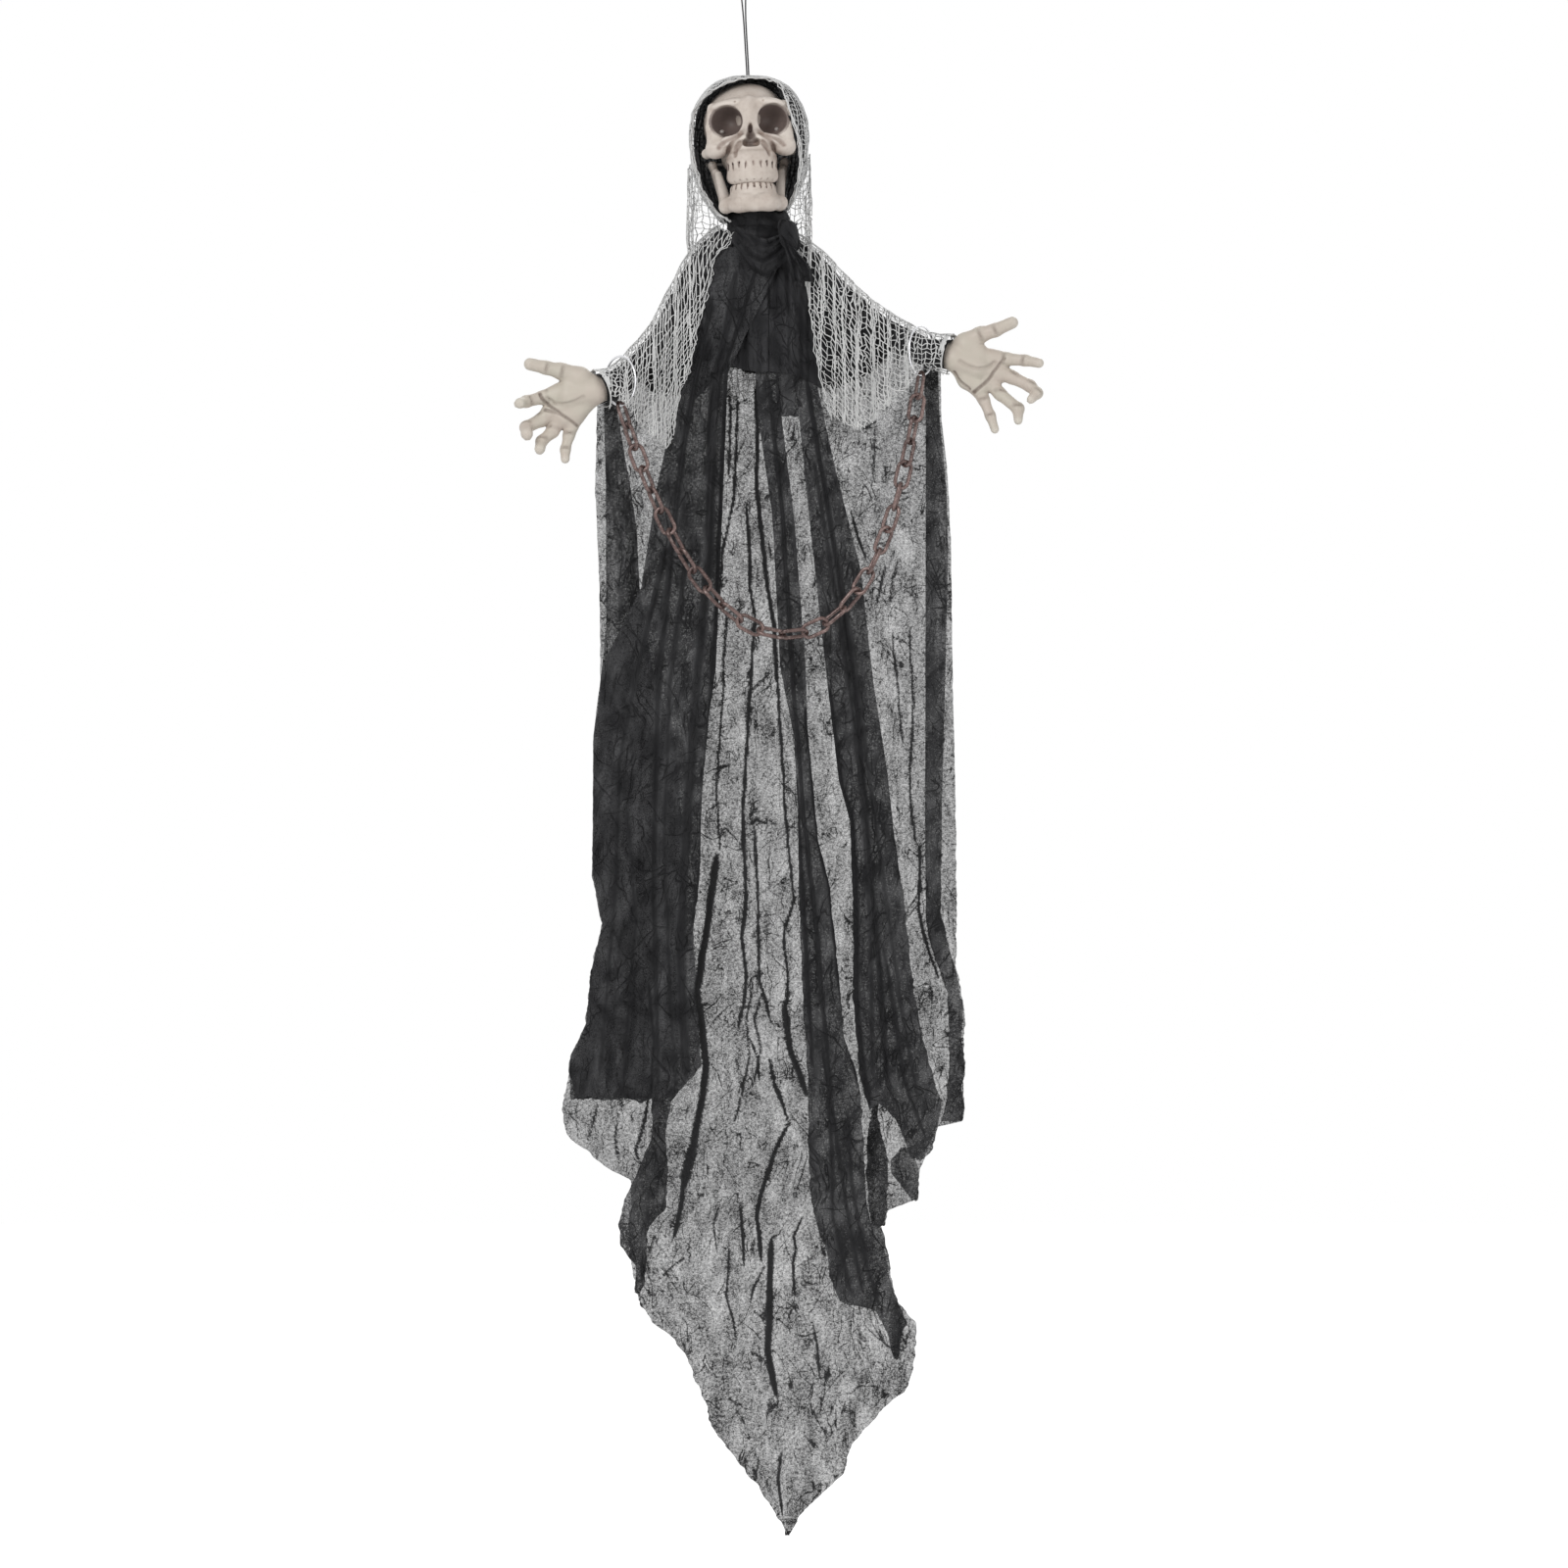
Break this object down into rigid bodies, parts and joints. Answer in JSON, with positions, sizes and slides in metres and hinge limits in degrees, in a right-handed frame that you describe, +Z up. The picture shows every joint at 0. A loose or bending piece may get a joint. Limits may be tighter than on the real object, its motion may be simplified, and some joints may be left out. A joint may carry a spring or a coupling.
{
  "type": "hanging ghost decoration",
  "caption": "Hanging robed skeleton ghost with spread hands, hood, layered gauze robe and a chain between its wrists.",
  "frame": {"origin": "inside top of the hanging cord's loop, where the hook carries the figure", "axes": "+Z up, -Y to the figure's front, +X to the viewer's right"},
  "size_m": [0.5349, 0.1888, 1.5926],
  "materials": {
    "bone_plastic": "moulded, brown wash in the recesses",
    "hand_plastic": "moulded, pale",
    "bulb": "clear",
    "black_cloth": "matt, opaque",
    "white_net": "open square net",
    "black_gauze": "sheer, crinkled",
    "steel": "bright wire",
    "rust_plastic": "moulded, rust painted",
    "cord": "thin black cord",
    "black_plastic": "moulded"
  },
  "bodies": {
    "figure": {"arm_wire": "steel", "back_panel": "black_gauze", "battery_box": "black_plastic", "battery_lid": "black_plastic", "black_hood": "black_cloth", "black_yoke": "black_cloth", "button_cells": "steel", "centre_strip": "black_gauze", "cord_knot": "cord", "cranium": "bone_plastic", "crown_washer": "steel", "hanging_cord": "cord", "jaw_rod": "steel", "lead_left": "cord", "lead_right": "cord", "led_left": "bulb", "led_right": "bulb", "left_front_panel": "black_gauze", "left_hand": "hand_plastic", "left_margin": "black_gauze", "left_ring": "steel", "neck_scarf": "black_cloth", "neck_tube": "black_plastic", "net_drape": "white_net", "right_front_panel": "black_gauze", "right_hand": "hand_plastic", "right_margin": "black_gauze", "right_ring": "steel"},
    "jaw": {"jaw": "bone_plastic"},
    "chain": {"chain_link_01": "rust_plastic", "chain_link_02": "rust_plastic", "chain_link_03": "rust_plastic", "chain_link_04": "rust_plastic", "chain_link_05": "rust_plastic", "chain_link_06": "rust_plastic", "chain_link_07": "rust_plastic", "chain_link_08": "rust_plastic", "chain_link_09": "rust_plastic", "chain_link_10": "rust_plastic", "chain_link_11": "rust_plastic", "chain_link_12": "rust_plastic", "chain_link_13": "rust_plastic", "chain_link_14": "rust_plastic", "chain_link_15": "rust_plastic", "chain_link_16": "rust_plastic", "chain_link_17": "rust_plastic", "chain_link_18": "rust_plastic", "chain_link_19": "rust_plastic", "chain_link_20": "rust_plastic", "chain_link_21": "rust_plastic", "chain_link_22": "rust_plastic", "chain_link_23": "rust_plastic", "chain_link_24": "rust_plastic", "chain_link_25": "rust_plastic", "chain_link_26": "rust_plastic", "chain_link_27": "rust_plastic"},
    "switch": {"switch_slider": "black_plastic"}
  },
  "joints": [
    {"name": "jaw_hinge", "type": "hinge", "parent": "figure", "child": "jaw", "pos_m": [0.00607, 0.00123, -0.19155], "axis": [0.9962, 0.0697, 0.0523], "range_deg": [0, 10]},
    {"name": "chain_swing", "type": "hinge", "parent": "figure", "child": "chain", "pos_m": [-0.1235, -0.07221, -0.43969], "axis": [-0.995, 0, -0.0996], "range_deg": [0, 25]},
    {"name": "switch_slide", "type": "slide", "parent": "figure", "child": "switch", "axis": [0, 0, -1], "range_m": [0, 0.003]}
  ]
}
